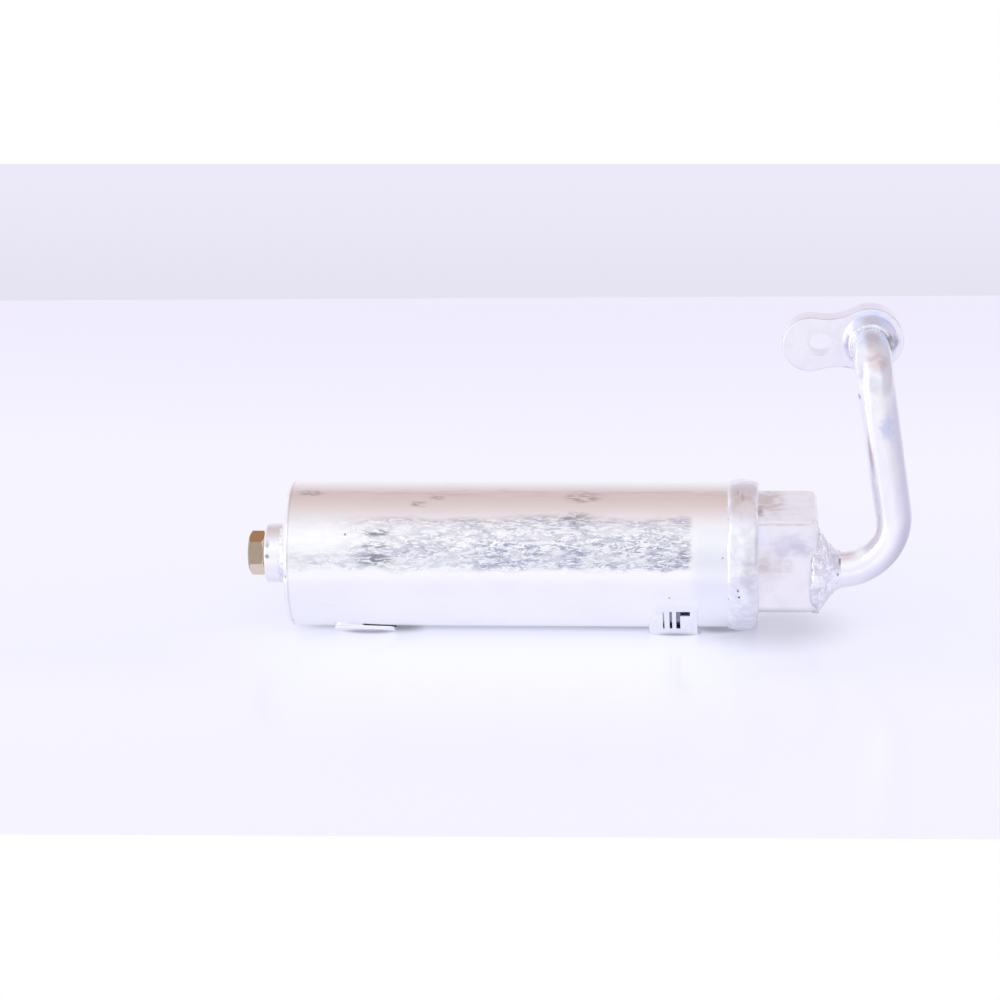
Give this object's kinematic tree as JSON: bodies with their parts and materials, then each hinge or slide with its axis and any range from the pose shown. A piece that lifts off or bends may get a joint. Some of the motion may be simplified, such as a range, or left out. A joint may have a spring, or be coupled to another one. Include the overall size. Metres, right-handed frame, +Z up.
{
  "type": "receiver drier",
  "caption": "Receiver drier for vehicle air conditioning: welded canister with fusible plug, header block, bent inlet pipe ending in a peanut flange, and sheet-metal cradle brackets.",
  "frame": {"origin": "centre of the flat underside of the lug bracket's foot, which rests on the ground", "axes": "+X along the canister, from the fusible plug to the header block; +Z up, away from the ground; +Y the way the pipe's nose and the outlet port face"},
  "size_m": [0.2315, 0.0612, 0.1116],
  "materials": {
    "bare_aluminium": "bare, satin, scuffed along the canister's side",
    "weld_metal": "bare weld bead, lumpy and bright",
    "bracket_metal": "pressed sheet, satin",
    "brass": "machined, a little tarnished",
    "pressed_steel": "plain pressed or drawn steel",
    "felt": "pressed fibre",
    "desiccant": "packed beads, matt",
    "seal_rubber": "moulded, satin"
  },
  "bodies": {
    "root": {"canister_shell": "bare_aluminium", "header_block": "bare_aluminium", "plug_boss": "bare_aluminium", "inlet_pipe": "bare_aluminium", "flange_plate": "bare_aluminium", "pickup_tube": "bare_aluminium", "girth_weld": "weld_metal", "boss_weld": "weld_metal", "pipe_weld": "weld_metal", "flange_braze": "weld_metal", "lug_bracket": "bracket_metal", "tongue_bracket": "bracket_metal", "fusible_plug": "brass", "lower_retainer": "pressed_steel", "upper_retainer": "pressed_steel", "inlet_screen": "pressed_steel", "charge_spring": "pressed_steel", "lower_pad": "felt", "upper_pad": "felt", "desiccant_charge": "desiccant", "plug_seal": "seal_rubber", "nose_seal": "seal_rubber"}
  },
  "joints": []
}
